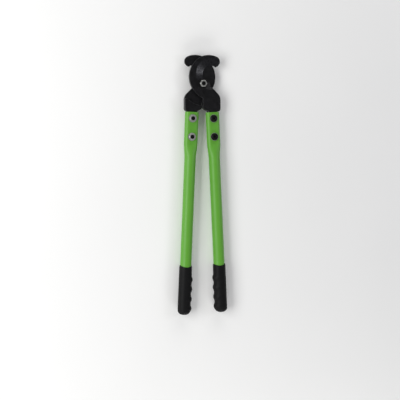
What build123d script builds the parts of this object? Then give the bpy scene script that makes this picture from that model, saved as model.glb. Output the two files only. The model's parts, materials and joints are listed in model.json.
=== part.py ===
"""Long-arm cable cutter: two forged hooked jaws on one pivot bolt, each bolted into a steel tube
handle with a plastic grip.

The tool lies flat and shut. +Y points along it towards the jaws, +X to the right and +Z up, along
the pivot bolt towards its nut. The origin is at the centre of the tool's footprint, on the surface
that it lies on. The two halves are the same: the front half, turned over about the long axis, is
the rear half.
"""

import math
import os

from build123d import *

os.makedirs("parts", exist_ok=True)

# ---------------------------------------------------------------- driving dimensions, mm
overall_length = 800.0
head_reach = 86.0  # pivot centre to the top of the jaws
grip_radius = 20.0
middle_gap = 0.2  # between the two blades
blade_thickness = 9.0

# Blade outline about the pivot, for the front blade, whose jaw hooks over to the right
back_centre = (26.0, 20.0)
back_radius = 68.0
back_top_x = -1.5
top_end = (44.0, 81.7)
ear_side = (54.2, 66.3)
tip_x = 42.0
throat_centre = (27.0, 30.0)
throat_radius = 25.0
throat_end_angle = 262.0
neck = (26.5, -9.0)
lobe_side_x = 56.3
shoulder_y = -38.0
lobe_bottom_y = -84.5
lobe_inner_x = 23.0
lobe_inner_arc_point = (9.5, -79.4)
crotch_y = -71.5
stop_gap = 0.3  # between the two lobes when the jaws are shut
back_low_fillet = 6.0
tip_fillet = 4.0
throat_end_fillet = 5.0
neck_fillet = 16.0
shoulder_fillet = 28.0
lobe_low_fillet = 10.0
edge_round = 1.0
boss_inner_radius = 66.0  # outside it the lobe is as thick as both blades
boss_corner_fillet = 5.0

# Ground bevel of the cutting edge, a cone about the throat's centre
bevel_width = 23.0
edge_land = 1.2
pivot_seat_radius = 13.8

# Pivot: M12 bolt with a hexagon head below and a hexagon nut on top
pivot_bolt_radius = 6.0
pivot_running_clearance = 0.05
pivot_hex_flats = 19.0
pivot_washer_radius = 12.5
pivot_washer_bore_radius = 6.2
pivot_washer_thickness = 2.5
washer_running_gap = 0.1
pivot_nut_height = 8.0
pivot_thread_above_nut = 1.2

# Handle tubes, flattened at the upper end
handle_lean = 2.65  # degrees, each, from the long axis
handle_top = (32.3, -85.8)  # middle of the tube's upper end, about the pivot
tube_radius = 17.5
tube_wall = 2.0
flat_width = 42.4
flat_thickness = 22.0
flat_length = 92.0
taper_length = 52.0
taper_sections = 7
tang_width = 33.0
tang_thickness = 16.0
tang_round = 6.5
tang_length = 90.0
tang_root = 6.0

# Handle fasteners: M12 button-head bolts, with distances from the tube's upper end
bolt_distances = {"upper": 19.2, "lower": 75.0}
bolt_radius = 6.0
bolt_hole_radius = 6.2  # in the tube, the tang and the washers
bolt_head_radius = 11.2
bolt_head_height = 6.6
bolt_head_crown = 5.2
socket_flats = 8.0
socket_depth = 4.2
washer_radius = 12.3
washer_thickness = 1.6
nut_flats = 19.0
nut_height = 7.0
thread_beyond_nut = 0.4
thread_chamfer = 0.8

# Grips
grip_length = 155.5
grip_end_fillet = 13.0
grip_end_wall = 9.0
grip_mouth_radius = 18.8
grip_mouth_taper = 6.0
ridge_offset = 5.0  # the finger ridges' own axis is this much nearer the other handle
ridge_valley_radius = 14.8
ridge_start = (8.5, 2.0)  # radius, and height above the grip's end
ridge_crest_radius = 18.5
ridge_pitch = 30.5
ridge_first_crest = 18.5  # from the grip's end
ridge_count = 4

# ---------------------------------------------------------------- derived places
pivot_y = overall_length / 2 - head_reach
middle_z = grip_radius
blade_inner_z = middle_z + middle_gap / 2
blade_outer_z = blade_inner_z + blade_thickness
rear_outer_z = 2 * middle_z - blade_outer_z
front_washer_z = blade_outer_z + washer_running_gap
pivot_nut_z = front_washer_z + pivot_washer_thickness
pivot_end_z = pivot_nut_z + pivot_nut_height + pivot_thread_above_nut
pivot_head_height = rear_outer_z - pivot_washer_thickness
tube_face_z = middle_z + flat_thickness / 2
tube_back_z = middle_z - flat_thickness / 2

lean = math.radians(handle_lean)
outward = (math.cos(lean), math.sin(lean), 0)
up_handle = (-math.sin(lean), math.cos(lean), 0)
down_handle = (math.sin(lean), -math.cos(lean), 0)
grip_end_rise = (grip_radius - grip_end_fillet) * math.sin(lean)
grip_end_distance = (pivot_y + handle_top[1] + overall_length / 2 - grip_end_rise) / math.cos(lean)
tube_length = grip_end_distance - grip_end_wall

pivot_plane = Plane((0, pivot_y, 0))
long_axis = Axis((0, 0, middle_z), (0, 1, 0))


def down_right_handle(distance):
    """The point of the right handle's axis this far below the tube's upper end."""
    x = handle_top[0] + distance * math.sin(lean)
    y = pivot_y + handle_top[1] - distance * math.cos(lean)
    return (x, y, middle_z)


handle_plane = Plane(origin=down_right_handle(0), x_dir=outward, z_dir=down_handle)
bolt_points = [down_right_handle(distance)[:2] for distance in bolt_distances.values()]


# ---------------------------------------------------------------- blades
def circle_point(centre, radius, x, side=1):
    """The point of a circle at this x, above its centre, or below it where side is -1."""
    return (x, centre[1] + side * math.sqrt(radius**2 - (x - centre[0]) ** 2))


def blade_outline():
    """The front blade's outline about the pivot, clockwise from the crotch."""
    crotch = (stop_gap / 2, crotch_y)
    back_low = circle_point(back_centre, back_radius, stop_gap / 2, side=-1)
    back_side = (back_centre[0] - back_radius, back_centre[1])
    back_top = circle_point(back_centre, back_radius, back_top_x)
    crest = ((back_top_x + top_end[0]) / 2, head_reach)
    tip = circle_point(throat_centre, throat_radius, tip_x)
    throat_side = (throat_centre[0] - throat_radius, throat_centre[1])
    end_turn = math.radians(throat_end_angle)
    throat_end = (
        throat_centre[0] + throat_radius * math.cos(end_turn),
        throat_centre[1] + throat_radius * math.sin(end_turn),
    )
    shoulder = (lobe_side_x, shoulder_y)
    lobe_low = (lobe_side_x, lobe_bottom_y)
    lobe_inner = (lobe_inner_x, lobe_bottom_y)
    with BuildSketch() as outline:
        with BuildLine():
            Line(crotch, back_low)
            ThreePointArc(back_low, back_side, back_top)
            ThreePointArc(back_top, crest, top_end)
            ThreePointArc(top_end, ear_side, tip)
            ThreePointArc(tip, throat_side, throat_end)
            Polyline(throat_end, neck, shoulder, lobe_low, lobe_inner)
            ThreePointArc(lobe_inner, lobe_inner_arc_point, crotch)
        make_face()
        fillet(outline.vertices().sort_by_distance(back_low)[0], back_low_fillet)
        fillet(outline.vertices().sort_by_distance(tip)[0], tip_fillet)
        fillet(outline.vertices().sort_by_distance(throat_end)[0], throat_end_fillet)
        fillet(outline.vertices().sort_by_distance(neck)[0], neck_fillet)
        fillet(outline.vertices().sort_by_distance(shoulder)[0], shoulder_fillet)
        fillet(outline.vertices().sort_by_distance(lobe_low)[0], lobe_low_fillet)
    return outline.sketch


with BuildPart() as front_blade:
    # Lobe, as thick as both blades, in the rear blade's layer
    with BuildSketch(pivot_plane.offset(rear_outer_z)) as lobe:
        add(blade_outline())
        Circle(boss_inner_radius, mode=Mode.SUBTRACT)
        with Locations((0, 0)):
            Rectangle(
                4 * lobe_side_x, 2 * head_reach, align=(Align.CENTER, Align.MIN), mode=Mode.SUBTRACT
            )
        shoulder_corner = lobe.vertices().sort_by_distance((lobe_side_x, shoulder_y))[0]
        fillet(shoulder_corner, boss_corner_fillet)
    extrude(amount=blade_thickness + middle_gap)
    fillet(front_blade.edges().group_by(Axis.Z)[0], edge_round)
    # Blade plate
    with BuildSketch(pivot_plane.offset(blade_inner_z)):
        add(blade_outline())
    extrude(amount=blade_thickness)
    fillet(front_blade.edges().group_by(Axis.Z)[-1], edge_round)
    # Ground bevel round the throat, left off the washer's seat
    bevel_rise = blade_thickness - edge_land + 1
    bevel_run = bevel_rise * bevel_width / (blade_thickness - edge_land)
    bevel_start = (throat_centre[0], pivot_y + throat_centre[1], blade_inner_z + edge_land)
    with Locations(bevel_start):
        Cone(
            throat_radius,
            throat_radius + bevel_run,
            bevel_rise,
            align=(Align.CENTER, Align.CENTER, Align.MIN),
            mode=Mode.SUBTRACT,
        )
    with BuildSketch(pivot_plane.offset(blade_inner_z)):
        Circle(pivot_seat_radius)
    extrude(amount=blade_thickness)
    # Tang inside the tube
    with BuildSketch(handle_plane.offset(-tang_root)):
        RectangleRounded(tang_width, tang_thickness, tang_round)
    extrude(amount=tang_root + tang_length)
    # Pivot hole and bolt holes
    with BuildSketch(pivot_plane.offset(middle_z)):
        Circle(pivot_bolt_radius + pivot_running_clearance)
    extrude(amount=2 * blade_thickness, both=True, mode=Mode.SUBTRACT)
    with BuildSketch(Plane.XY.offset(middle_z)):
        with Locations(*bolt_points):
            Circle(bolt_hole_radius)
    extrude(amount=2 * blade_thickness, both=True, mode=Mode.SUBTRACT)


# ---------------------------------------------------------------- nuts and washers
def hexagon_nut(plane, flats, height, bore_radius):
    """A hexagon nut with chamfered corners that stands on this plane."""
    corner_radius = flats / math.sqrt(3)
    with BuildPart() as blank:
        with BuildSketch(plane):
            Circle(corner_radius)
        extrude(amount=height)
        round_edges = blank.edges().filter_by(GeomType.CIRCLE)
        chamfer(round_edges, corner_radius * 0.07, corner_radius * 0.13)
    with BuildPart() as nut:
        with BuildSketch(plane):
            RegularPolygon(corner_radius, 6)
        extrude(amount=height)
        add(blank.part, mode=Mode.INTERSECT)
        with BuildSketch(plane):
            Circle(bore_radius)
        extrude(amount=height, mode=Mode.SUBTRACT)
    return nut.part


def washer(plane, outer_radius, bore_radius, thickness):
    """A flat washer that stands on this plane."""
    with BuildPart() as ring:
        with BuildSketch(plane):
            Circle(outer_radius)
            Circle(bore_radius, mode=Mode.SUBTRACT)
        extrude(amount=thickness)
        chamfer(ring.edges().filter_by(GeomType.CIRCLE).group_by(Axis.Z)[-1].sort_by()[-1], 0.3)
    return ring.part


# ---------------------------------------------------------------- pivot
with BuildPart() as pivot_bolt:
    with BuildSketch(pivot_plane):
        RegularPolygon(pivot_hex_flats / math.sqrt(3), 6)
    extrude(amount=pivot_head_height)
    with BuildSketch(pivot_plane):
        Circle(pivot_bolt_radius)
    extrude(amount=pivot_end_z)
    chamfer(pivot_bolt.edges().group_by(Axis.Z)[-1], thread_chamfer)

with BuildPart() as pivot_nut:
    add(
        hexagon_nut(
            pivot_plane.offset(pivot_nut_z), pivot_hex_flats, pivot_nut_height, pivot_bolt_radius
        )
    )

with BuildPart() as front_pivot_washer:
    add(
        washer(
            pivot_plane.offset(front_washer_z),
            pivot_washer_radius,
            pivot_washer_bore_radius,
            pivot_washer_thickness,
        )
    )

with BuildPart() as rear_pivot_washer:
    add(
        washer(
            pivot_plane.offset(pivot_head_height),
            pivot_washer_radius,
            pivot_washer_bore_radius,
            pivot_washer_thickness,
        )
    )


# ---------------------------------------------------------------- tube handles
def between(start, end, share):
    """The value this share of the way from start to end."""
    return start + share * (end - start)


def tube_section(inset, share):
    """The outline this share of the way from the flat section to the round one, in four edges."""
    radius = tube_radius - inset
    half_width = between(flat_width / 2 - inset, radius, share)
    half_thickness = between(flat_thickness / 2 - inset, radius, share)
    corner_x = between((flat_width - flat_thickness) / 2, radius * math.sqrt(0.5), share)
    corner_y = between(flat_thickness / 2 - inset, radius * math.sqrt(0.5), share)
    with BuildSketch() as section:
        with BuildLine():
            if share == 0:
                Line((-corner_x, corner_y), (corner_x, corner_y))
                Line((corner_x, -corner_y), (-corner_x, -corner_y))
            else:
                ThreePointArc((-corner_x, corner_y), (0, half_thickness), (corner_x, corner_y))
                ThreePointArc((corner_x, -corner_y), (0, -half_thickness), (-corner_x, -corner_y))
            ThreePointArc((corner_x, corner_y), (half_width, 0), (corner_x, -corner_y))
            ThreePointArc((-corner_x, -corner_y), (-half_width, 0), (-corner_x, corner_y))
        make_face()
    return section.sketch


def tube_solid(inset):
    """The tube's outside, or its bore where inset is the wall: flat end, taper, round run."""
    with BuildPart() as solid:
        with BuildSketch(handle_plane):
            add(tube_section(inset, 0))
        extrude(amount=flat_length)
        for step in range(taper_sections):
            run = step / (taper_sections - 1)
            eased = run * run * (3 - 2 * run)
            with BuildSketch(handle_plane.offset(flat_length + run * taper_length)):
                add(tube_section(inset, eased))
        loft()
        with BuildSketch(handle_plane.offset(flat_length + taper_length)):
            add(tube_section(inset, 1))
        extrude(amount=tube_length - flat_length - taper_length)
    return solid.part


with BuildPart() as right_tube:
    add(tube_solid(0))
    add(tube_solid(tube_wall), mode=Mode.SUBTRACT)
    with BuildSketch(Plane.XY.offset(middle_z)):
        with Locations(*bolt_points):
            Circle(bolt_hole_radius)
    extrude(amount=flat_thickness, both=True, mode=Mode.SUBTRACT)

# ---------------------------------------------------------------- grip
grip_end = down_right_handle(grip_end_distance)
ridge_end = tuple(grip_end[i] - ridge_offset * outward[i] for i in range(3))
grip_plane = Plane(origin=grip_end, x_dir=outward, z_dir=(0, 0, 1))
ridge_plane = Plane(origin=ridge_end, x_dir=outward, z_dir=(0, 0, 1))
last_valley = ridge_first_crest + (ridge_count - 0.5) * ridge_pitch
ridge_middle_radius = (ridge_valley_radius + ridge_crest_radius) / 2

with BuildPart() as right_grip:
    # Sleeve with a rounded end
    with BuildSketch(grip_plane) as sleeve:
        with BuildLine():
            Polyline(
                (0, 0),
                (grip_radius, 0),
                (grip_radius, grip_length - grip_mouth_taper),
                (grip_mouth_radius, grip_length),
                (0, grip_length),
                close=True,
            )
        make_face()
        fillet(sleeve.vertices().sort_by_distance((grip_radius, 0))[0], grip_end_fillet)
    revolve(axis=Axis(grip_end, up_handle))
    # Finger ridges, which stand out towards the other handle
    with BuildSketch(ridge_plane):
        with BuildLine():
            Polyline((0, last_valley), (0, ridge_start[1]), ridge_start)
            low = ridge_start
            for ridge in range(ridge_count):
                crest = (ridge_crest_radius, ridge_first_crest + ridge * ridge_pitch)
                high = (ridge_middle_radius, crest[1] + ridge_pitch / 4)
                valley = (ridge_valley_radius, crest[1] + ridge_pitch / 2)
                ThreePointArc(low, crest, high)
                if ridge < ridge_count - 1:
                    low = (ridge_middle_radius, crest[1] + 3 * ridge_pitch / 4)
                    ThreePointArc(high, valley, low)
            Line(high, valley)
            Line(valley, (0, last_valley))
        make_face()
    revolve(axis=Axis(ridge_end, up_handle))
    # Bore, closed at the grip's end
    with BuildSketch(handle_plane.offset(tube_length)):
        Circle(tube_radius)
    extrude(amount=-grip_length, mode=Mode.SUBTRACT)


# ---------------------------------------------------------------- handle fasteners
def handle_bolt(centre):
    """Button-head bolt with a hexagon socket, head up on the tube's face."""
    head_z = tube_face_z + washer_thickness
    end_z = tube_back_z - washer_thickness - nut_height - thread_beyond_nut
    with BuildPart() as bolt:
        with BuildSketch(Plane((centre[0], centre[1], head_z))):
            Circle(bolt_head_radius)
        extrude(amount=bolt_head_height)
        fillet(bolt.edges().group_by(Axis.Z)[-1], bolt_head_crown)
        with BuildSketch(Plane((centre[0], centre[1], head_z + bolt_head_height))):
            RegularPolygon(socket_flats / math.sqrt(3), 6)
        extrude(amount=-socket_depth, mode=Mode.SUBTRACT)
        with BuildSketch(Plane((centre[0], centre[1], end_z))):
            Circle(bolt_radius)
        extrude(amount=head_z - end_z)
        chamfer(bolt.edges().group_by(Axis.Z)[0], thread_chamfer)
    return bolt.part


fasteners = {}
for place, centre in zip(bolt_distances, bolt_points):
    nut_z = tube_back_z - washer_thickness - nut_height
    fasteners[f"{place}_bolt"] = handle_bolt(centre)
    fasteners[f"{place}_nut"] = hexagon_nut(
        Plane((centre[0], centre[1], nut_z)), nut_flats, nut_height, bolt_radius
    )
    fasteners[f"{place}_head_washer"] = washer(
        Plane((centre[0], centre[1], tube_face_z)), washer_radius, bolt_hole_radius, washer_thickness
    )
    fasteners[f"{place}_nut_washer"] = washer(
        Plane((centre[0], centre[1], tube_back_z - washer_thickness)),
        washer_radius,
        bolt_hole_radius,
        washer_thickness,
    )

# ---------------------------------------------------------------- both halves, labelled and written
front_half = {"front_blade": front_blade.part, "right_tube": right_tube.part}
front_half["right_grip"] = right_grip.part
for name, part in fasteners.items():
    front_half[f"right_{name}"] = part

pieces = {
    "pivot_bolt": pivot_bolt.part,
    "pivot_nut": pivot_nut.part,
    "front_pivot_washer": front_pivot_washer.part,
    "rear_pivot_washer": rear_pivot_washer.part,
}
for name, part in front_half.items():
    pieces[name] = part
    turned_name = name.replace("front", "rear").replace("right", "left")
    pieces[turned_name] = part.rotate(long_axis, 180)

for name, part in pieces.items():
    part.label = name
    export_step(part, f"parts/{name}.step")
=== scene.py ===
"""Looks of the long-arm cable cutter, built round its CAD solids.

Blades, tubes and washers keep their CAD shape and get a material. Grips, bolts and nuts are built
here in finer detail. The tool lies flat: +Y points to the jaws, +X to the right and +Z up.
"""

import json
import math

import bmesh
import bpy
from mathutils import Euler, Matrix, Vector


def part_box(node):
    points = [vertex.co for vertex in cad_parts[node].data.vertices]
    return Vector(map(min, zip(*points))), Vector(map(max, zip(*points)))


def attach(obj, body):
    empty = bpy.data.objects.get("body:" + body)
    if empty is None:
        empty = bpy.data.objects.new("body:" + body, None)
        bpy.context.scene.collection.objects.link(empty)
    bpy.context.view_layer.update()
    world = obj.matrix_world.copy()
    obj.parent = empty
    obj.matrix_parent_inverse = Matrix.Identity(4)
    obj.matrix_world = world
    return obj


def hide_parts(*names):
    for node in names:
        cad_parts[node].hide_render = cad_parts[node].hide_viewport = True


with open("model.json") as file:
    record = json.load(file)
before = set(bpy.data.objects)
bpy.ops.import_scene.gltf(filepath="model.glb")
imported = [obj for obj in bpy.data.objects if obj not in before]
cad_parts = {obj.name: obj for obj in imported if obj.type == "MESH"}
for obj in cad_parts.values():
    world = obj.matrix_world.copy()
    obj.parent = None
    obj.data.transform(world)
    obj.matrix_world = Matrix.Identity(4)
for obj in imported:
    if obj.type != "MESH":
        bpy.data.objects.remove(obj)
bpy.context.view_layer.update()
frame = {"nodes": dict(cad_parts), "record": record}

MM = 0.001
FULL_TURN = 2 * math.pi
HALF_TURN = math.pi

# Handles, in metres: each tube's axis leans outward from the point where the tube starts
HANDLE_LEAN = math.radians(2.65)
HANDLE_TOP = Vector((0.0323, 0.2282, 0.020))

# Middle of each blade's throat, in metres
THROAT = {"front": Vector((0.027, 0.344, 0.0)), "rear": Vector((-0.027, 0.344, 0.0))}

# Grips, in mm. A distance is along the axis, from the mouth or from the closed end
GRIP_SIDES = 96
GRIP_LENGTH = 155.5
GRIP_RADIUS = 19.9
GRIP_DOME = 13.0  # rounding of the closed end
GRIP_BORE = 17.55
GRIP_END_WALL = 9.0
BORE_START = 0.5  # from the mouth, past a small chamfer
BORE_FLAT_RING = 12.0  # from the mouth, where the bore no longer follows the scallop
MOUTH_SCALLOP = 3.8  # how far the mouth dips at the top and bottom
SCALLOP_REACH = 14.0  # from the mouth, where the skin no longer follows the scallop
MOUTH_ROUNDING = 1.1
ROUNDING_ROWS = [0.0, 0.15, 0.35, 0.6, 0.85]  # rings of the mesh, from the mouth
LIP_HEIGHT, LIP_PLACE, LIP_WIDTH = 0.55, 2.6, 1.7  # from the mouth
NECK_DEPTH, NECK_START, NECK_LENGTH = 1.15, 3.5, 5.0  # from the mouth
GROOVE_DEPTH, GROOVE_PLACE, GROOVE_WIDTH = 0.35, 15.2, 0.9  # from the closed end
SEAM_HEIGHT, SEAM_HALF_WIDTH = 0.08, 0.4  # the mould's parting line, along both sides
SLEEVE_ROW = 0.95  # between the rings of the mesh
DOME_ROWS = 20

# Finger ridges, in mm, turned about an axis of their own, with distances from the closed end
RIDGE_OFFSET = 5.0  # of that axis from the grip's, towards the other handle
RIDGE_VALLEY = 14.8  # radius
RIDGE_CREST = 18.5  # radius
RIDGE_COUNT = 4
RIDGE_PITCH = 30.5
RIDGE_START = 2.0
RIDGE_FIRST_CREST = 18.5
RIDGE_LAST_VALLEY = RIDGE_FIRST_CREST + (RIDGE_COUNT - 0.5) * RIDGE_PITCH
RIDGE_RUN_OUT = 0.2  # slope of the ridges' radius past the last valley
RIDGE_BLEND = 1.6  # width of the fillet between the ridges and the sleeve

# Fasteners, in mm
SIDES = 72  # points round each turned piece, a multiple of the hexagons' six corners
EVEN_ANGLES = [FULL_TURN * step / SIDES for step in range(SIDES)]
HEX_FLATS = 19.0
HEX_RIM = 0.955 * HEX_FLATS / 2  # radius of the circle that the corners are turned down to
HEX_CHAMFER = math.radians(30)
BOLT_RADIUS = 6.0
BOLT_HEAD_HEIGHT = 6.6
BOLT_HEAD_RADIUS = 11.2
BOLT_HEAD_CROWN = 5.2
BOLT_HEAD_CHAMFER_WIDTH, BOLT_HEAD_CHAMFER_HEIGHT = 0.3, 0.35
SOCKET_FLATS = 8.0
SOCKET_DEPTH = 4.2
SOCKET_CHAMFER = 0.45
SOCKET_RIM = 5.15  # radius
SOCKET_RIM_WIDTH, SOCKET_RIM_DROP = 0.15, 0.02
SOCKET_CONE_RADIUS = 0.8  # at the bottom of the cone under the socket
SOCKET_CONE_DEPTH = 0.9
SOCKET_CONE_SHOULDER = 0.9  # share of the socket that is left a third of the way down the cone
HANDLE_THREAD_START = -18.0  # from the underside of the bolt's head
PIVOT_HEAD_HEIGHT = 8.4
PIVOT_THREAD_LENGTH = 14.0
PIVOT_RECESS_RADIUS = 6.6  # the shallow round recess in the pivot bolt's head
PIVOT_RECESS_DEPTH = 0.4
NUT_BORE = 5.95  # radius
NUT_COUNTERSINK = 6.75  # radius
THREAD_PITCH = 1.75
THREAD_DEPTH = 0.75
THREAD_CREST, THREAD_ROOT = 1 / 8, 1 / 4  # the flats of the profile, as shares of the pitch
THREAD_TIP_INSET = 0.15  # of the bolt's end from the root of its thread
THREAD_TIP_RADIUS = BOLT_RADIUS - THREAD_DEPTH - THREAD_TIP_INSET
THREAD_ROWS_PER_TURN = 10


# ---------------------------------------------------------------- camera, floor and light
def add_camera():
    """A camera that looks down at the tool, from about 16 degrees to its left."""
    lens = bpy.data.cameras.new("camera")
    lens.lens = 57.5
    camera = bpy.data.objects.new("camera", lens)
    camera.location = (-0.5364, 0.151, 1.919)
    camera.rotation_euler = Euler([math.radians(turn) for turn in (-5.546, -15.575, -0.15)])
    bpy.context.collection.objects.link(camera)
    bpy.context.scene.camera = camera


def add_softbox(name, direction, distance, size, power, color=(1, 1, 1)):
    """A rectangular light that faces the middle of the tool."""
    light = bpy.data.lights.new(name, "AREA")
    light.shape = "RECTANGLE"
    light.size, light.size_y = size
    light.energy = power
    light.color = color
    softbox = bpy.data.objects.new(name, light)
    softbox.location = Vector(direction).normalized() * distance
    softbox.rotation_euler = Vector(direction).to_track_quat("Z", "Y").to_euler()
    bpy.context.collection.objects.link(softbox)


def add_room(fill_light, backdrop):
    """A dim white room that fills the shadows, with a pale backdrop where it is seen itself."""
    room = bpy.data.worlds.new("studio_room")
    room.use_nodes = True
    nodes, links = room.node_tree.nodes, room.node_tree.links
    nodes.clear()
    share = nodes.new("ShaderNodeMixShader")
    links.new(nodes.new("ShaderNodeLightPath").outputs["Is Camera Ray"], share.inputs[0])
    for socket, strength in ((share.inputs[1], fill_light), (share.inputs[2], backdrop)):
        background = nodes.new("ShaderNodeBackground")
        background.inputs["Color"].default_value = (1, 1, 1, 1)
        background.inputs["Strength"].default_value = strength
        links.new(background.outputs[0], socket)
    links.new(share.outputs[0], nodes.new("ShaderNodeOutputWorld").inputs["Surface"])
    bpy.context.scene.world = room


def add_studio():
    """Four soft lights and the room."""
    add_softbox("key_softbox", (-0.80, 0.05, 0.60), 2.4, (2.6, 1.0), 50)
    add_softbox("rim_softbox", (0.785, 0.12, 0.61), 2.2, (0.55, 0.5), 6, (0.92, 0.92, 1.0))
    add_softbox("grip_end_softbox", (0.10, -0.90, 0.42), 2.4, (2.4, 0.8), 28)
    add_softbox("jaw_end_softbox", (0.10, 0.90, 0.42), 2.4, (2.4, 0.8), 20)
    add_room(fill_light=0.12, backdrop=0.80)
    bpy.context.scene.view_settings.view_transform = "Standard"


def add_floor(material):
    """A round table top under the tool."""
    mesh = bpy.data.meshes.new("floor")
    reach, corners = 2.3, 128
    turns = [FULL_TURN * corner / corners for corner in range(corners)]
    rim = [(reach * math.cos(turn), reach * math.sin(turn), 0) for turn in turns]
    mesh.from_pydata(rim, [], [range(corners)])
    mesh.materials.append(material)
    floor = bpy.data.objects.new("floor", mesh)
    bpy.context.collection.objects.link(floor)


# ---------------------------------------------------------------- materials
class Surface:
    """A procedural material, with short calls for the nodes that it is made of."""

    def __init__(self, name, **values):
        self.material = bpy.data.materials.new(name)
        self.material.use_nodes = True
        self.nodes = self.material.node_tree.nodes
        self.links = self.material.node_tree.links
        self.shader = self.nodes["Principled BSDF"]
        for socket, value in values.items():
            self.shader.inputs[socket.replace("_", " ")].default_value = value
        coordinates = self.nodes.new("ShaderNodeTexCoord").outputs
        self.place = coordinates["Object"]
        self.facing = coordinates["Normal"]

    def node(self, kind, inputs, **settings):
        """Adds a node, with numbers or other nodes' outputs in its inputs."""
        node = self.nodes.new("ShaderNode" + kind)
        for name, value in settings.items():
            setattr(node, name, value)
        for name, value in inputs.items():
            if isinstance(value, bpy.types.NodeSocket):
                self.links.new(value, node.inputs[name])
            else:
                node.inputs[name].default_value = value
        return node.outputs

    def math(self, operation, first, second=0.0):
        return self.node("Math", {0: first, 1: second}, operation=operation)[0]

    def vector_math(self, operation, first, second=(0, 0, 0)):
        """The outputs of a vector operation: its vector is 0 and its number is Value."""
        return self.node("VectorMath", {0: first, 1: second}, operation=operation)

    def axis(self, vector, name):
        return self.node("SeparateXYZ", {0: vector})[name]

    def remap(self, value, low, high, to_low=0.0, to_high=1.0):
        inputs = {0: value, 1: low, 2: high, 3: to_low, 4: to_high}
        return self.node("MapRange", inputs)[0]

    def mix(self, share, first, second):
        """A colour between two others, this share of the way to the second."""
        inputs = {0: share, 6: (*first, 1) if isinstance(first, tuple) else first}
        inputs[7] = (*second, 1) if isinstance(second, tuple) else second
        return self.node("Mix", inputs, data_type="RGBA")[2]

    def noise(self, size_mm, detail=2.0, rough=0.5, vector=None):
        """Noise whose lumps are about this many millimetres across."""
        inputs = {
            "Vector": self.place if vector is None else vector,
            "Scale": 1.0 / (size_mm * MM),
            "Detail": detail,
            "Roughness": rough,
        }
        return self.node("TexNoise", inputs)[0]

    def bump(self, height, depth_mm, under=None):
        """Relief this many millimetres deep, on top of another bump."""
        inputs = {"Height": height, "Strength": 1.0, "Distance": depth_mm * MM}
        if under is not None:
            inputs["Normal"] = under
        return self.node("Bump", inputs)[0]

    def finish(self, color, roughness, normal):
        for socket, value in (("Base Color", color), ("Roughness", roughness), ("Normal", normal)):
            self.links.new(value, self.shader.inputs[socket])
        return self.material


def paper_floor():
    """Matt, pale and faintly clouded."""
    surface = Surface("studio_floor", Specular_IOR_Level=0.1)
    clouds = surface.noise(400, 2)
    color = surface.mix(clouds, (0.91, 0.91, 0.90), (0.94, 0.94, 0.93))
    grain = surface.bump(surface.noise(1.2, 3), 0.02)
    return surface.finish(color, surface.remap(clouds, 0, 1, 0.75, 0.9), grain)


def forged_steel(name, throat):
    """Black oxide on forged steel, with wheel marks round the ground bevel and rubbed edges."""
    surface = Surface(name, Specular_IOR_Level=0.28)
    upright = surface.math("ABSOLUTE", surface.axis(surface.facing, "Z"))

    # The bevel leans about 19 degrees, so its normal gives it away
    past_walls = surface.remap(upright, 0.90, 0.93)
    short_of_flat = surface.remap(upright, 0.985, 0.965)
    bevel = surface.math("MULTIPLY", past_walls, short_of_flat)

    # Rounded edges face between the flat faces and the walls
    rising = surface.remap(upright, 0.25, 0.55)
    falling = surface.remap(upright, 0.93, 0.80)
    edge = surface.math("MULTIPLY", rising, falling)
    rubbed = surface.remap(surface.noise(7, 5, 0.65), 0.42, 0.66)
    wear = surface.math("MULTIPLY", edge, rubbed)

    # Marks of the grinding wheel follow circles round the throat
    from_throat = surface.vector_math("SUBTRACT", surface.place, tuple(throat))[0]
    flat_place = surface.vector_math("MULTIPLY", from_throat, (1, 1, 0))[0]
    radius = surface.vector_math("LENGTH", flat_place)["Value"]
    turn = surface.math("ARCTAN2", surface.axis(flat_place, "Y"), surface.axis(flat_place, "X"))
    along_per_radian = 0.0022  # far less than the radius, which draws the marks out
    along = surface.math("MULTIPLY", turn, along_per_radian)
    wheel_place = surface.node("CombineXYZ", {0: radius, 1: along})[0]
    wheel_marks = surface.noise(0.35, 3, 0.6, wheel_place)
    marks = surface.math("MULTIPLY", wheel_marks, bevel)

    patches = surface.remap(surface.noise(12, 5, 0.65), 0.36, 0.64)
    color = surface.mix(patches, (0.0026, 0.0026, 0.0031), (0.0090, 0.0089, 0.0101))
    rust = surface.remap(surface.noise(4, 5, 0.7), 0.60, 0.72)
    color = surface.mix(surface.math("MULTIPLY", rust, 0.30), color, (0.022, 0.017, 0.014))
    shine = surface.remap(marks, 0.40, 0.62)
    color = surface.mix(shine, color, (0.015, 0.015, 0.018))
    color = surface.mix(surface.math("MULTIPLY", wear, 0.8), color, (0.13, 0.13, 0.135))

    roughness = surface.remap(surface.noise(5, 5, 0.65), 0.34, 0.66, 0.30, 0.50)
    roughness = surface.math("SUBTRACT", roughness, surface.math("MULTIPLY", wear, 0.08))
    roughness = surface.math("SUBTRACT", roughness, surface.math("MULTIPLY", bevel, 0.10))

    scale = surface.bump(surface.noise(2.4, 4, 0.6), 0.07)
    grain = surface.bump(surface.noise(0.30, 2), 0.010, scale)
    normal = surface.bump(marks, 0.04, grain)
    return surface.finish(color, roughness, normal)


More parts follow.
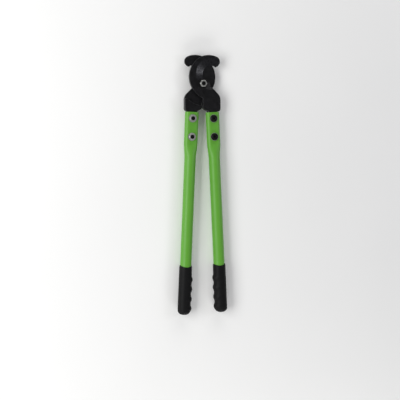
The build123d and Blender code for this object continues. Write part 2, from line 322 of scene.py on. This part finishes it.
def powder_coat():
    """Semi-gloss green powder coat, with the fine orange peel that it dries to."""
    surface = Surface("green_powder_coat", Specular_IOR_Level=0.4)
    clouds = surface.noise(60, 3)
    color = surface.mix(clouds, (0.104, 0.338, 0.031), (0.120, 0.375, 0.039))
    specks = surface.remap(surface.noise(0.5, 2, 0.7), 0.66, 0.74)
    color = surface.mix(surface.math("MULTIPLY", specks, 0.25), color, (0.075, 0.29, 0.035))
    lengthwise = surface.vector_math("MULTIPLY", surface.place, (1.0, 0.06, 1.0))[0]
    scuffed = surface.remap(surface.noise(3, 4, 0.7, lengthwise), 0.62, 0.72)
    color = surface.mix(surface.math("MULTIPLY", scuffed, 0.15), color, (0.24, 0.5, 0.17))
    roughness = surface.remap(surface.noise(9, 3), 0.3, 0.7, 0.38, 0.48)
    roughness = surface.math("ADD", roughness, surface.math("MULTIPLY", scuffed, 0.12))
    peel = surface.bump(surface.noise(1.5, 2), 0.05)
    fine = surface.bump(surface.noise(0.45, 2), 0.006, peel)
    return surface.finish(color, roughness, fine)


def moulded_grip():
    """Satin black plastic with a leathery grain and a little dust in it."""
    surface = Surface("moulded_grip", Specular_IOR_Level=0.14)
    patches = surface.noise(20, 4)
    color = surface.mix(patches, (0.0040, 0.0040, 0.0044), (0.0068, 0.0068, 0.0072))
    dust = surface.remap(surface.noise(1.1, 3, 0.7), 0.64, 0.74)
    color = surface.mix(surface.math("MULTIPLY", dust, 0.18), color, (0.03, 0.03, 0.029))
    roughness = surface.remap(surface.noise(6, 4), 0.3, 0.7, 0.48, 0.60)
    cell_size = 0.9 * MM
    cell_inputs = {"Vector": surface.place, "Scale": 1 / cell_size}
    cells = surface.node("TexVoronoi", cell_inputs, feature="SMOOTH_F1")[0]
    grain = surface.bump(cells, 0.08)
    fine = surface.bump(surface.noise(0.35, 2), 0.015, grain)
    return surface.finish(color, roughness, fine)


def zinc_plate():
    """Zinc plate, a little cloudy and warm, with fine turning and handling marks."""
    surface = Surface("zinc_plate", Metallic=0.65)
    clouds = surface.noise(5, 4, 0.6)
    color = surface.mix(clouds, (0.32, 0.33, 0.32), (0.43, 0.43, 0.41))
    dull = surface.remap(surface.noise(1.2, 4, 0.7), 0.55, 0.72)
    color = surface.mix(surface.math("MULTIPLY", dull, 0.35), color, (0.26, 0.26, 0.25))
    roughness = surface.remap(surface.noise(2.5, 4), 0.3, 0.7, 0.36, 0.50)
    grain = surface.bump(surface.noise(0.22, 3, 0.7), 0.010)
    normal = surface.bump(surface.noise(1.6, 2), 0.015, grain)
    return surface.finish(color, roughness, normal)


def black_oxide():
    """Black oxide on machined bolts, worn a little towards bare steel."""
    surface = Surface("black_oxide", Specular_IOR_Level=0.18)
    clouds = surface.noise(4, 4, 0.6)
    color = surface.mix(clouds, (0.0022, 0.0023, 0.0025), (0.0055, 0.0054, 0.0055))
    worn = surface.remap(surface.noise(0.9, 5, 0.7), 0.62, 0.76)
    color = surface.mix(surface.math("MULTIPLY", worn, 0.35), color, (0.03, 0.03, 0.029))
    roughness = surface.remap(surface.noise(2, 4), 0.3, 0.7, 0.34, 0.46)
    grain = surface.bump(surface.noise(0.25, 3, 0.7), 0.008)
    return surface.finish(color, roughness, grain)


# ---------------------------------------------------------------- mesh building
def ring(radius, height, angles=EVEN_ANGLES):
    """Points round the Z axis. Radius and height are numbers, or functions of the angle."""
    points = []
    for angle in angles:
        out = radius(angle) if callable(radius) else radius
        rise = height(angle) if callable(height) else height
        points.append(Vector((out * math.cos(angle), out * math.sin(angle), rise)))
    return points


def build_piece(name, rings, place, sharp_degrees, hollow=False):
    """A closed mesh of rings of points, each joined to the next.

    The last ring of a hollow piece is joined to its first. Any other piece is closed at both ends.
    place turns a point of the rings, in mm, into a point of the frame, in metres.
    """
    work = bmesh.new()
    loops = [[work.verts.new(place(point)) for point in points] for points in rings]
    count = len(loops[0])
    pairs = list(zip(loops, loops[1:]))
    ends = [loops[0], loops[-1]]
    if hollow:
        pairs.append((loops[-1], loops[0]))
        ends = []
    for near, far in pairs:
        for step in range(count):
            after = (step + 1) % count
            work.faces.new((near[step], near[after], far[after], far[step]))
    for loop in ends:
        middle = work.verts.new(sum((vert.co for vert in loop), Vector()) / count)
        for step in range(count):
            work.faces.new((loop[step], loop[(step + 1) % count], middle))
    bmesh.ops.recalc_face_normals(work, faces=work.faces)
    mesh = bpy.data.meshes.new(name)
    work.to_mesh(mesh)
    work.free()
    for face in mesh.polygons:
        face.use_smooth = True
    mesh.set_sharp_from_angle(angle=math.radians(sharp_degrees))
    piece = bpy.data.objects.new(name, mesh)
    bpy.context.collection.objects.link(piece)
    return piece


def stand_in(piece, node):
    """The piece rides on the CAD node's body, has its slot and is shown in its stead."""
    slot = SLOTS[node]
    piece.data.materials.append(MATERIALS[slot])
    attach(piece, BODY_OF[node])
    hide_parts(node)


# ---------------------------------------------------------------- grips
def smooth_larger(first, second, width):
    """The larger of two numbers, eased over where they are nearly the same."""
    near = max(width - abs(first - second), 0.0) / width
    return max(first, second) + near * near * width / 4


def swell(distance, middle, width):
    """A smooth swelling from 0 to 1 and back, this wide to each side of its middle."""
    return math.exp(-(((distance - middle) / width) ** 2))


def ridge_radius(from_end):
    """Radius of the finger ridges about their own axis, this far from the closed end."""
    middle = (RIDGE_VALLEY + RIDGE_CREST) / 2
    swing = (RIDGE_CREST - RIDGE_VALLEY) / 2
    if from_end > RIDGE_LAST_VALLEY:
        return RIDGE_VALLEY - RIDGE_RUN_OUT * (from_end - RIDGE_LAST_VALLEY)
    if from_end > RIDGE_FIRST_CREST:
        turn = FULL_TURN * (from_end - RIDGE_FIRST_CREST) / RIDGE_PITCH
        return middle + swing * math.cos(turn)
    fall = (RIDGE_FIRST_CREST - from_end) / (RIDGE_FIRST_CREST - RIDGE_START)
    return max(RIDGE_CREST * math.sqrt(max(1 - fall * fall, 0.0)), RIDGE_OFFSET)


def sleeve_radius(from_end):
    """Radius of the plain sleeve, this far from the closed end."""
    into_dome = GRIP_DOME - from_end
    if into_dome > 0:
        return GRIP_RADIUS - GRIP_DOME + math.sqrt(GRIP_DOME**2 - into_dome**2)
    from_mouth = GRIP_LENGTH - from_end
    lip = LIP_HEIGHT * swell(from_mouth, LIP_PLACE, LIP_WIDTH)
    past_neck = min(max((from_mouth - NECK_START) / NECK_LENGTH, 0.0), 1.0)
    neck = NECK_DEPTH * (1 - past_neck) ** 2
    rounding = MOUTH_ROUNDING * max(1 - from_mouth / MOUTH_ROUNDING, 0.0) ** 2
    groove = GROOVE_DEPTH * swell(from_end, GROOVE_PLACE, GROOVE_WIDTH)
    return GRIP_RADIUS - neck + lip - rounding - groove


def grip_radius(from_end, angle):
    """Radius of the grip's skin. Angle 0 faces the other handle."""
    skin = sleeve_radius(from_end)
    ridge = ridge_radius(from_end)
    across = RIDGE_OFFSET * math.sin(angle)
    inside = ridge * ridge - across * across
    if from_end >= RIDGE_START and inside > 0:
        bulge = RIDGE_OFFSET * math.cos(angle) + math.sqrt(inside)
        skin = smooth_larger(skin, bulge, RIDGE_BLEND)
    off_seam = abs(math.sin(angle)) * skin / SEAM_HALF_WIDTH
    fade = min(from_end / GRIP_DOME, 1.0)
    return skin + SEAM_HEIGHT * fade * max(1.0 - off_seam, 0.0)


def grip_angles():
    """Even steps round the grip, with more points beside the two parting lines."""
    angles = [FULL_TURN * step / GRIP_SIDES for step in range(GRIP_SIDES)]
    beside_seam = SEAM_HALF_WIDTH / GRIP_RADIUS
    for seam in (0.0, HALF_TURN, FULL_TURN):
        angles += [seam - beside_seam, seam + beside_seam]
    return sorted(angle for angle in angles if 0 <= angle < FULL_TURN)


def skin_distances():
    """Places of the skin's rings, from the mouth: close at its rounding and over the dome."""
    dome_start = GRIP_LENGTH - GRIP_DOME
    sleeve_rows = int((dome_start - MOUTH_ROUNDING) / SLEEVE_ROW) + 1
    sleeve = [MOUTH_ROUNDING + SLEEVE_ROW * row for row in range(sleeve_rows)]
    turns = [HALF_TURN / 2 * row / DOME_ROWS for row in range(DOME_ROWS + 1)]
    dome = [dome_start + GRIP_DOME * math.sin(turn) for turn in turns]
    return ROUNDING_ROWS + sleeve + dome


def grip_rings():
    """Rings of the whole grip, from the end of its bore, over the lip and down to the dome."""
    angles = grip_angles()

    def bore_mouth(angle):
        return BORE_START + MOUTH_SCALLOP * math.sin(angle) ** 2

    rings = [
        ring(GRIP_BORE, GRIP_LENGTH - GRIP_END_WALL, angles),
        ring(GRIP_BORE, BORE_FLAT_RING, angles),
        ring(GRIP_BORE, bore_mouth, angles),
    ]
    for distance in skin_distances():
        scallop = MOUTH_SCALLOP * max(1 - distance / SCALLOP_REACH, 0.0)

        def radius(angle):
            return grip_radius(GRIP_LENGTH - distance, angle)

        def height(angle):
            return distance + scallop * math.sin(angle) ** 2

        rings.append(ring(radius, height, angles))
    return rings


def build_grip(side, sign):
    """Grip of one handle. The sign is 1 on the right and -1 on the left."""
    node = side + "_grip"
    down = Vector((sign * math.sin(HANDLE_LEAN), -math.cos(HANDLE_LEAN), 0))
    inward = Vector((-sign * math.cos(HANDLE_LEAN), -math.sin(HANDLE_LEAN), 0))
    upward = Vector((0, 0, 1))

    # The closed end touches the bottom of the CAD grip's box
    end_flat = (GRIP_RADIUS - GRIP_DOME) * MM
    dome_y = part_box(node)[0].y + GRIP_DOME * MM + end_flat * math.sin(HANDLE_LEAN)
    top = Vector((sign * HANDLE_TOP.x, HANDLE_TOP.y, HANDLE_TOP.z))
    dome_distance = (top.y - dome_y) / math.cos(HANDLE_LEAN)
    mouth = top + down * (dome_distance + (GRIP_DOME - GRIP_LENGTH) * MM)

    def place(point):
        across = inward * point.x + upward * point.y
        return mouth + (across + down * point.z) * MM

    piece = build_piece(node + "_sleeve", grip_rings(), place, sharp_degrees=40)
    stand_in(piece, node)


# ---------------------------------------------------------------- fasteners
def hexagon(flats):
    """Radius of a hexagon at an angle, with a corner at angle 0."""
    sixth = FULL_TURN / 6
    return lambda angle: flats / 2 / math.cos(angle % sixth - sixth / 2)


def chamfered_hexagon(low, high):
    """Rings of a nut's sides, whose corners are turned down to a circle at both ends."""
    side = hexagon(HEX_FLATS)

    def drop(angle):
        return (side(angle) - HEX_RIM) * math.tan(HEX_CHAMFER)

    return [
        ring(HEX_RIM, low),
        ring(side, lambda angle: low + drop(angle)),
        ring(side, lambda angle: high - drop(angle)),
        ring(HEX_RIM, high),
    ]


def thread_cut(turns):
    """Depth of the metric profile, from 0 on the crest to 1 at the root, after these turns."""
    from_crest = 1 - abs(2 * (turns % 1.0) - 1)
    slope = 1 / (1 - THREAD_CREST - THREAD_ROOT)
    return min(max(slope * (from_crest - THREAD_CREST), 0.0), 1.0)


def thread_rings(start, end):
    """Rings of a right-handed thread that runs from start, up or down, to a chamfered end."""
    reach = abs(end - start)
    rows = int(reach / THREAD_PITCH * THREAD_ROWS_PER_TURN)
    rings = []
    for row in range(rows + 1):
        height = start + (end - start) * row / rows
        to_end = abs(end - height)
        depth = THREAD_DEPTH * min((reach - to_end) / THREAD_PITCH, 1.0)

        def radius(angle):
            cut = thread_cut(height / THREAD_PITCH - angle / FULL_TURN)
            return min(BOLT_RADIUS - depth * cut, THREAD_TIP_RADIUS + to_end)

        rings.append(ring(radius, height))
    return rings


def button_head_rings():
    """Rings of a domed head with a hexagon socket, from the socket's floor to the shank."""
    top = BOLT_HEAD_HEIGHT
    bottom = top - SOCKET_DEPTH
    socket = hexagon(SOCKET_FLATS)
    shoulder = hexagon(SOCKET_FLATS * SOCKET_CONE_SHOULDER)
    rings = [
        ring(SOCKET_CONE_RADIUS, bottom - SOCKET_CONE_DEPTH),
        ring(shoulder, bottom - SOCKET_CONE_DEPTH / 3),
        ring(socket, bottom),
        ring(socket, top - SOCKET_CHAMFER),
        ring(SOCKET_RIM - SOCKET_RIM_WIDTH, top - SOCKET_RIM_DROP),
        ring(SOCKET_RIM, top),
    ]
    crown_rows = 10
    for row in range(crown_rows + 1):
        turn = HALF_TURN / 2 * row / crown_rows
        out = BOLT_HEAD_RADIUS - BOLT_HEAD_CROWN * (1 - math.sin(turn))
        rings.append(ring(out, top - BOLT_HEAD_CROWN * (1 - math.cos(turn))))
    rings.append(ring(BOLT_HEAD_RADIUS, BOLT_HEAD_CHAMFER_HEIGHT))
    rings.append(ring(BOLT_HEAD_RADIUS - BOLT_HEAD_CHAMFER_WIDTH, 0.0))
    rings.append(ring(BOLT_RADIUS, 0.0))
    return rings


def stand_at(node, height, up=1):
    """Turns a fastener's points, in mm, into the frame, about the upright line through the node.

    Height is of the points' origin, in metres. Up is -1 for a fastener that is turned over.
    """
    low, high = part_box(node)
    x, y = (low.x + high.x) / 2, (low.y + high.y) / 2

    def place(point):
        return Vector((x + point.x * MM, y + up * point.y * MM, height + up * point.z * MM))

    return place


def build_handle_bolt(node, up):
    """Button-head bolt through a flattened tube. Up is 1 with its head on top, or else -1."""
    low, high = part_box(node)
    shank = (high.z - low.z) / MM - BOLT_HEAD_HEIGHT
    head_end = high.z if up == 1 else low.z
    rings = button_head_rings() + thread_rings(HANDLE_THREAD_START, -shank)
    place = stand_at(node, head_end - up * BOLT_HEAD_HEIGHT * MM, up)
    stand_in(build_piece(node + "_screw", rings, place, sharp_degrees=38), node)


def build_pivot_bolt(node):
    """Hexagon bolt that the blades turn on, head down."""
    low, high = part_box(node)
    shank = (high.z - low.z) / MM - PIVOT_HEAD_HEIGHT
    recess = PIVOT_RECESS_DEPTH - PIVOT_HEAD_HEIGHT
    recess_ring = 4.0  # inside the recess's flat
    rings = [
        ring(recess_ring, recess),
        ring(PIVOT_RECESS_RADIUS - PIVOT_RECESS_DEPTH, recess),
        ring(PIVOT_RECESS_RADIUS, -PIVOT_HEAD_HEIGHT),
    ]
    rings += chamfered_hexagon(-PIVOT_HEAD_HEIGHT, 0.0)
    rings.append(ring(BOLT_RADIUS, 0.0))
    rings += thread_rings(shank - PIVOT_THREAD_LENGTH, shank)
    place = stand_at(node, low.z + PIVOT_HEAD_HEIGHT * MM)
    stand_in(build_piece(node + "_screw", rings, place, sharp_degrees=38), node)


def build_nut(node):
    """Hexagon nut, turned down at both faces, with a countersunk bore."""
    low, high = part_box(node)
    top = (high.z - low.z) / MM
    countersink_depth = NUT_COUNTERSINK - NUT_BORE
    rings = [ring(NUT_BORE, countersink_depth), ring(NUT_COUNTERSINK, 0.0)]
    rings += chamfered_hexagon(0.0, top)
    rings += [ring(NUT_COUNTERSINK, top), ring(NUT_BORE, top - countersink_depth)]
    place = stand_at(node, low.z)
    stand_in(build_piece(node + "_hex", rings, place, sharp_degrees=30, hollow=True), node)


# ---------------------------------------------------------------- the tool
MATERIALS = {
    "green_paint": powder_coat(),
    "grip_plastic": moulded_grip(),
    "plated_steel": zinc_plate(),
    "black_bolt": black_oxide(),
}
SLOTS = {part["node"]: part["material_slot"] for part in frame["record"]["subparts"]}
BODY_OF = {
    member: body
    for body, members in frame["record"]["behaviour"]["bodies"].items()
    for member in members
}

add_camera()
add_studio()
add_floor(paper_floor())

for side, sign in (("right", 1), ("left", -1)):
    build_grip(side, sign)
    for level in ("upper", "lower"):
        build_handle_bolt(f"{side}_{level}_bolt", up=sign)
        build_nut(f"{side}_{level}_nut")
build_pivot_bolt("pivot_bolt")
build_nut("pivot_nut")

for node, piece in frame["nodes"].items():
    piece.data.materials.clear()
    if SLOTS[node] == "forged_steel":
        half = node.split("_")[0]
        piece.data.materials.append(forged_steel(half + "_forged_steel", THROAT[half]))
    else:
        piece.data.materials.append(MATERIALS[SLOTS[node]])
